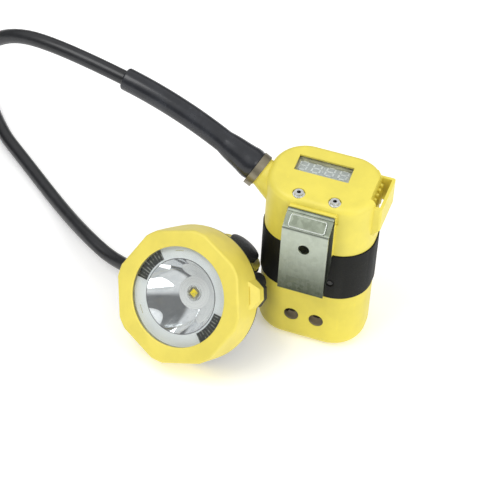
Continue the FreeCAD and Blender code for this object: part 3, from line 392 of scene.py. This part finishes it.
yellow = moulded("yellow_moulding", colour(233, 218, 90), 0.42)
yellow_case = moulded("yellow_case", colour(228, 212, 78), 0.42)
yellow_head = moulded("yellow_headpiece", colour(233, 216, 96), 0.45)
band_black = stippled("band_black", colour(20, 21, 19), 0.62, 0.9 * MM, 0.03 * MM)
shell_black = stippled("shell_black", colour(50, 51, 50), 0.5, 0.6 * MM)
knob_black = stippled("knob_black", colour(46, 47, 47), 0.48, 1.1 * MM, 0.14 * MM)
hook_black = stippled("hook_black", colour(40, 40, 40), 0.4, 0.5 * MM, 0.03 * MM)
inner_black = moulded("inner_black", colour(38, 38, 40), 0.5)
boot_rubber = rubber("boot_rubber", colour(37, 39, 44), 0.22)
lead_rubber = rubber("lead_rubber", colour(32, 33, 36), 0.28)
seal_rubber = rubber("seal_rubber", colour(30, 30, 31), 0.6)
gasket_grey = rubber("gasket_grey", colour(184, 182, 156), 0.6)
wire_red = rubber("wire_red", colour(150, 40, 36), 0.4)
zinc = galvanised("zinc", colour(184, 192, 178), colour(66, 72, 58), 0.28)
# painted highlight: the bead is the clip's own zinc, given a paler copy so that the panel's rim reads bright
bead_zinc_painted_highlight = turned_metal("bead_zinc_painted_highlight", colour(226, 232, 224), 0.24)
zinc_back = galvanised("zinc_back", colour(182, 190, 177), colour(86, 92, 80), 0.28)
band_zinc = galvanised("band_zinc", colour(196, 190, 174), colour(128, 120, 100), 0.38)
bright_steel = turned_metal("bright_steel", colour(236, 238, 238), metallic=0.6)
dull_steel = turned_metal("dull_steel", colour(150, 148, 140), 0.32)
dark_chrome = turned_metal("dark_chrome", colour(90, 82, 68), 0.08)
brass = turned_metal("brass", colour(206, 172, 96), 0.28)
nickel = turned_metal("nickel", colour(204, 200, 190), 0.30)
sink_metal = turned_metal("sink_metal", colour(200, 202, 206), 0.35)
ceramic = soft_metal("ceramic", colour(224, 224, 216))
flange_silver = soft_metal("flange_silver", colour(240, 243, 244), 0.0)
display_grey = soft_metal("display_grey", colour(180, 186, 184))
digit_grey = soft_metal("digit_grey", colour(226, 230, 228))
tick_gold = soft_metal("tick_gold", colour(196, 190, 150))
board_green = circuit_board("board_green", colour(30, 84, 52), colour(96, 130, 70))
cell_wrap = wrapped("cell_wrap", colour(54, 92, 150), colour(30, 50, 90))
lens_clear = clear("lens_clear", (0.97, 0.98, 0.98, 1), 0.30)
window_clear = clear("window_clear", (0.96, 0.97, 0.97, 1), 0.4)
dome_clear = clear("dome_clear", (0.99, 0.98, 0.94, 1), 0.4)
plated_screws = screw_head()
side_bars = panel_dark()
white_board = led_board_white()
die_yellow = phosphor()
bowl_mirror = mirror_coat()

FINISHES = {
    yellow: ["cap_shell", "knob_collar"],
    yellow_case: ["lower_case"],
    yellow_head: ["head_bezel"],
    band_black: ["case_band"],
    shell_black: ["head_shell"],
    knob_black: ["switch_knob"],
    hook_black: ["helmet_hook"],
    inner_black: ["band_pins", "lower_cell_tray", "upper_cell_tray", "rotary_switch"],
    boot_rubber: ["cable_boot", "head_boot"],
    seal_rubber: ["case_seal", "contact_seals", "shell_gasket", "shaft_o_ring"],
    gasket_grey: ["lens_gasket", "display_gasket"],
    wire_red: ["lead_wires"],
    zinc: ["clip_tongue"],
    zinc_back: ["clip_plate"],
    band_zinc: ["boot_clamp"],
    bright_steel: ["cap_washers"],
    plated_screws: ["cap_screws"],
    dull_steel: ["board_screws", "clip_screw", "clip_nut", "hook_screws", "lug_screw"],
    dark_chrome: ["charge_contacts"],
    brass: ["contact_nuts", "switch_shaft"],
    nickel: ["cell_tabs"],
    ceramic: ["led_package"],
    sink_metal: ["heat_sink"],
    flange_silver: ["flange_ring"],
    side_bars: ["side_panels"],
    display_grey: ["display_module"],
    board_green: ["control_board", "driver_board"],
    white_board: ["led_board"],
    die_yellow: ["led_chip"],
    cell_wrap: ["battery_cells"],
    lens_clear: ["front_lens"],
    window_clear: ["display_window"],
    dome_clear: ["led_dome"],
}
SMOOTH_LIMIT = math.radians(28)


def dressed(node, finish):
    """Gives a CAD node its finish and smooth shading up to a limit angle."""
    body = NODES[node]
    body.data.materials.clear()
    body.data.materials.append(finish)
    body.data.polygons.foreach_set("use_smooth", [True] * len(body.data.polygons))
    joined = body.modifiers.new("joined", "WELD")
    joined.merge_threshold = 0.002 * MM
    creased = body.modifiers.new("creased", "EDGE_SPLIT")
    creased.split_angle = SMOOTH_LIMIT


# ---- pieces ----
def piece(name, mesh, place, finish, body="lamp", smooth=True):
    """Makes a finished piece of a bmesh, sets it in place and lets it ride on a body."""
    bmesh.ops.transform(mesh, matrix=place, verts=mesh.verts)
    bmesh.ops.recalc_face_normals(mesh, faces=mesh.faces)
    data = bpy.data.meshes.new(name)
    mesh.to_mesh(data)
    mesh.free()
    data.materials.append(finish)
    data.polygons.foreach_set("use_smooth", [smooth] * len(data.polygons))
    made = bpy.data.objects.new(name, data)
    bpy.context.scene.collection.objects.link(made)
    if smooth:
        creased = made.modifiers.new("creased", "EDGE_SPLIT")
        creased.split_angle = SMOOTH_LIMIT
    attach(made, body)
    return made


def spun(outline, steps=96, sweep=2 * math.pi):
    """A bmesh of an outline of (radius, height) points turned about Z."""
    mesh = bmesh.new()
    rim = [mesh.verts.new((radius, 0, height)) for radius, height in outline]
    edges = [mesh.edges.new(pair) for pair in zip(rim, rim[1:] + rim[:1])]
    full = sweep > 6.28
    face = [] if full else [mesh.faces.new(rim)]
    bmesh.ops.spin(mesh, geom=rim + edges + face, axis=(0, 0, 1), cent=(0, 0, 0), angle=sweep, steps=steps,
                   use_merge=full)
    bmesh.ops.remove_doubles(mesh, verts=mesh.verts, dist=0.001 * MM)
    return mesh


def coil_step(turned):
    """Radius and height of the lead's middle line after so many turns of the coil."""
    for (before, radius, height), (after, next_radius, next_height) in zip(COIL_STEPS, COIL_STEPS[1:]):
        if turned <= after:
            share = (turned - before) / (after - before)
            return radius + (next_radius - radius) * share, height + (next_height - height) * share


def lead():
    """The lead: down from the pack, round the put-away coil and up to the headpiece."""
    points = [Vector(point) for point in PACK_SIDE]
    steps = round(COIL_TURNS * COIL_POINTS)
    outward = 1 / math.cos(math.pi / COIL_POINTS)    # the line runs inside its control points
    for i in range(steps + 1):
        turned = i * COIL_TURNS / steps
        radius, height = coil_step(turned)
        reach = radius * outward
        angle = COIL_START - 2 * math.pi * turned
        points.append(COIL_MIDDLE + Vector((reach * math.cos(angle), reach * math.sin(angle), height)))
    points += [Vector(point) for point in HEAD_SIDE]
    curve = bpy.data.curves.new("lead", "CURVE")
    curve.dimensions = "3D"
    curve.bevel_depth = LEAD_RADIUS
    curve.bevel_resolution = 6
    curve.resolution_u = 8
    curve.use_fill_caps = True
    line = curve.splines.new("NURBS")
    line.points.add(len(points) - 1)
    for spot, point in zip(line.points, points):
        spot.co = (*point, 1)
    line.order_u = 3
    line.use_endpoint_u = True
    curve.materials.append(lead_rubber)
    cable = bpy.data.objects.new("lead", curve)
    bpy.context.scene.collection.objects.link(cable)
    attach(cable, "lamp")
    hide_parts("cord_pack_side", "cord_coil", "cord_head_side")


def reflector_bowl():
    """Parabolic bowl with an outward lip under the flange."""
    curve = []
    for i in range(BOWL_STEPS + 1):
        share = i / BOWL_STEPS
        radius = math.sqrt(BOWL_RIM ** 2 + (BOWL_FOOT ** 2 - BOWL_RIM ** 2) * share)
        curve.append((radius, -FLANGE_FRONT - BOWL_DEPTH * share))
    lip = -FLANGE_FRONT - LIP_SUNK
    back = [(radius + BOWL_WALL, height) for radius, height in reversed(curve[BACK_START:])]
    outline = curve + back + [(LIP_RADIUS, lip - LIP_WALL), (LIP_RADIUS, lip), (BOWL_RIM + LIP_GAP, lip),
                              (BOWL_RIM + LIP_GAP, -FLANGE_FRONT)]
    bowl = piece("reflector_bowl", spun(outline, 128), HEAD, bowl_mirror)
    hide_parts("reflector")


def led_ring():
    """Plated ring round the LED's dome."""
    outline = [(LED_RING + LED_RING_WIRE * math.cos(turn), LED_RING_WIRE * math.sin(turn))
               for turn in (math.radians(30 * i) for i in range(12))]
    foot = -FLANGE_FRONT - BOWL_DEPTH
    place = HEAD @ Matrix.Translation((0, 0, foot - LED_RING_SUNK + LED_RING_WIRE))
    piece("led_ring", spun(outline, 64), place, bright_steel)


def flange_ticks():
    """Three thin raised arcs on the flange ring."""
    low, high = -FLANGE_FRONT - TICK_ROOT, -FLANGE_FRONT + TICK_RISE
    outline = [(TICK_INNER, low), (TICK_OUTER, low), (TICK_OUTER, high), (TICK_INNER, high)]
    for number, start in enumerate(TICK_STARTS):
        place = HEAD @ Matrix.Rotation(math.radians(start), 4, "Z")
        piece(f"flange_tick_{number}", spun(outline, 10, TICK_SWEEP), place, tick_gold)


def segment(mesh, place):
    """One pointed bar of a digit."""
    long, wide = SEGMENT_HALF_LENGTH, SEGMENT_HALF
    made = bmesh.ops.create_circle(mesh, cap_ends=True, segments=6, radius=wide)["verts"]
    for vert in made:
        if abs(vert.co.y) < 0.6 * wide and abs(vert.co.x) > 0.9 * wide:
            vert.co.x = math.copysign(long, vert.co.x)
        else:
            vert.co.x = math.copysign(long - wide, vert.co.x)
            vert.co.y = math.copysign(wide, vert.co.y)
    face = made[0].link_faces[0]
    raised = bmesh.ops.extrude_face_region(mesh, geom=[face])["geom"]
    top = [item for item in raised if isinstance(item, bmesh.types.BMVert)]
    bmesh.ops.translate(mesh, vec=(0, 0, SEGMENT_THICK), verts=top)
    bmesh.ops.transform(mesh, matrix=place, verts=made + top)


def display_digits():
    """Four slanted seven-segment digits and the colon between the pairs."""
    face = Matrix.Translation((*DIGITS_MIDDLE, DISPLAY_FACE))
    slant = Matrix.Identity(4)
    slant[0][1] = DIGIT_SLANT
    upright = Matrix.Rotation(math.pi / 2, 4, "Z") @ Matrix.Diagonal((UPRIGHT_SHARE, 1, 1, 1))
    mesh = bmesh.new()
    for i in range(4):
        centre = (i - 1.5) * DIGIT_PITCH
        for level in (-1, 0, 1):
            segment(mesh, slant @ Matrix.Translation((centre, level * DIGIT_HALF_HEIGHT, 0)))
        for side in (-1, 1):
            for level in (-0.5, 0.5):
                place = Matrix.Translation((centre + side * DIGIT_HALF_WIDTH, level * DIGIT_HALF_HEIGHT, 0))
                segment(mesh, slant @ place @ upright)
    for level in (-0.45, 0.45):
        dot = bmesh.ops.create_cone(mesh, cap_ends=True, segments=12, radius1=COLON_RADIUS,
                                    radius2=COLON_RADIUS, depth=SEGMENT_THICK)["verts"]
        place = Matrix.Translation((0, level * DIGIT_HALF_HEIGHT, SEGMENT_THICK / 2))
        bmesh.ops.transform(mesh, matrix=slant @ place, verts=dot)
    piece("display_digits", mesh, DISPLAY @ face, digit_grey, smooth=False)


def panel_bead():
    """Rounded edge of the panel that is pressed out of the clip's shoulder."""
    mesh = bmesh.new()
    half_x, half_y = PANEL_HALF_X - PANEL_CORNER, PANEL_HALF_Y - PANEL_CORNER
    ring = bmesh.ops.create_circle(mesh, segments=12, radius=BEAD)["verts"]
    start = Matrix.Translation((PANEL_HALF_X - BEAD_SUNK, half_y, PANEL_RISE - BEAD_SUNK))
    bmesh.ops.transform(mesh, matrix=start @ Matrix.Rotation(math.pi / 2, 4, "X"), verts=ring)
    end = ring + list(mesh.edges)
    for side_x, side_y in ((1, 1), (-1, 1), (-1, -1), (1, -1)):
        corner = Vector((side_x * half_x, side_y * half_y, 0))
        following = Vector((-side_y * half_x, side_x * half_y, 0))
        end = bmesh.ops.spin(mesh, geom=end, axis=(0, 0, 1), cent=corner, angle=math.pi / 2,
                             steps=6)["geom_last"]
        edges = [item for item in end if isinstance(item, bmesh.types.BMEdge)]
        end = bmesh.ops.extrude_edge_only(mesh, edges=edges)["geom"]
        moved = [item for item in end if isinstance(item, bmesh.types.BMVert)]
        bmesh.ops.translate(mesh, vec=following - corner, verts=moved)
        end = moved + [item for item in end if isinstance(item, bmesh.types.BMEdge)
                       and all(vert in moved for vert in item.verts)]
    bmesh.ops.remove_doubles(mesh, verts=mesh.verts, dist=0.001 * MM)
    place = Matrix.Translation(PANEL_MIDDLE) @ Matrix.Rotation(PANEL_TILT, 4, "X")
    # the bead wears the paler zinc of painted highlight
    piece("clip_panel_bead", mesh, place, bead_zinc_painted_highlight, body="clip_leaf")


# ---- light and floor ----
def lamp(name, place, size, power):
    """A square soft light that faces the lamp."""
    light = bpy.data.lights.new(name, "AREA")
    light.size = size
    light.energy = power
    made = bpy.data.objects.new(name, light)
    made.location = place
    made.rotation_euler = (Vector(place) - LAMP_AIM).to_track_quat("Z", "Y").to_euler()
    bpy.context.scene.collection.objects.link(made)


def sky(tree):
    """A bright ceiling over darker studio walls, so that polished pieces show contrast."""
    air = Nodes(tree)
    back = tree.nodes["Background"]
    height = air.node("TexCoord", {}, {}, "Generated").part(2)
    air.feed(back.inputs["Color"], air.mixed(height.over(*WALL_TOP), WALL_TONE, (1, 1, 1, 1)))
    air.feed(back.inputs["Strength"], SKY_STRENGTH)


def studio():
    """The pale floor, the sky and two soft lights."""
    scene = bpy.context.scene
    scene.view_settings.view_transform = "Standard"
    world = bpy.data.worlds.new("studio")
    scene.world = world
    world.use_nodes = True
    sky(world.node_tree)
    mesh = bmesh.new()
    bmesh.ops.create_grid(mesh, x_segments=1, y_segments=1, size=FLOOR_HALF)
    data = bpy.data.meshes.new("floor")
    mesh.to_mesh(data)
    mesh.free()
    floor = bpy.data.objects.new("floor", data)
    scene.collection.objects.link(floor)
    white = Paint("floor_white", Emission_Color=(1, 1, 1, 1), Emission_Strength=0.25)
    grain = white.noise(0.2, 3)
    tone = white.mixed(grain.over(0.3, 0.7), (0.93, 0.93, 0.93, 1), (0.95, 0.95, 0.95, 1))
    data.materials.append(white.finish(tone, 0.7 + 0.1 * grain))
    lamp("key", place=(-0.5, -0.5, 1.3), size=0.7, power=6)
    lamp("fill", place=(1.3, -0.6, 0.7), size=0.9, power=9)


def camera():
    """The camera looks down on the lamp's front from a little to the right, slightly rolled."""
    back = Vector((math.sin(AZIMUTH) * math.cos(ELEVATION), -math.cos(AZIMUTH) * math.cos(ELEVATION),
                   math.sin(ELEVATION)))
    level = Vector((math.cos(AZIMUTH), math.sin(AZIMUTH), 0))
    upward = back.cross(level)
    right = level * math.cos(ROLL) + upward * math.sin(ROLL)
    up = upward * math.cos(ROLL) - level * math.sin(ROLL)
    place = Vector((0, 0, AIM_HEIGHT)) + right * AIM_RIGHT + up * AIM_UP + back * DISTANCE
    view = bpy.data.cameras.new("camera")
    view.lens = LENS
    made = bpy.data.objects.new("camera", view)
    made.matrix_world = Matrix.Translation(place) @ Matrix((right, up, back)).transposed().to_4x4()
    bpy.context.scene.collection.objects.link(made)
    bpy.context.scene.camera = made


camera()
lead()
for finish, members in FINISHES.items():
    for member in members:
        dressed(member, finish)
reflector_bowl()
led_ring()
flange_ticks()
display_digits()
panel_bead()
studio()
